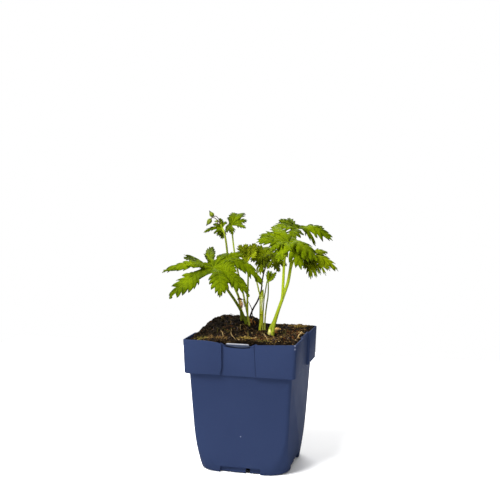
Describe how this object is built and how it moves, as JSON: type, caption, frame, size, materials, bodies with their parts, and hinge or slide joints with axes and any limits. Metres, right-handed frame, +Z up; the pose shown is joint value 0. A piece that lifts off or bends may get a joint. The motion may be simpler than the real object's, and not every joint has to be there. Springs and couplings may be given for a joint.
{
  "type": "potted geranium plant",
  "caption": "Young hardy geranium with deeply cut palmate leaves, slender leaf stalks and closed flower buds, in a square blue plastic nursery pot of soil.",
  "frame": {"origin": "centre of the pot's base, on the ground", "axes": "+Z up; the label side of the pot faces -Y; +X is to the right, seen from the label side"},
  "size_m": [0.1706, 0.1122, 0.2547],
  "materials": {
    "pot": "semi-matte injection-moulded slate blue",
    "label": "plain plastic plant label, pale along its top edge",
    "soil": "damp peaty potting soil with tan root fibres and a little moss",
    "leaf": "softly hairy, satin, bright yellow-green",
    "dark_leaf": "softly hairy, satin, darker green",
    "shoot": "satin, pale yellow-green",
    "bud": "hairy, green with dark purple edges"
  },
  "bodies": {
    "root": {"pot": "pot", "label": "label", "leaf_front_left": "leaf", "leaf_top_left": "leaf", "leaf_front_right": "leaf", "leaf_top_right": "leaf", "leaf_young": "leaf", "flower_stalk": "leaf", "leaf_folded": "dark_leaf", "leaf_middle": "dark_leaf", "leaf_under": "dark_leaf", "leaf_low_right": "dark_leaf", "flower_buds": "bud", "young_shoot": "shoot", "soil": "soil"}
  },
  "joints": []
}
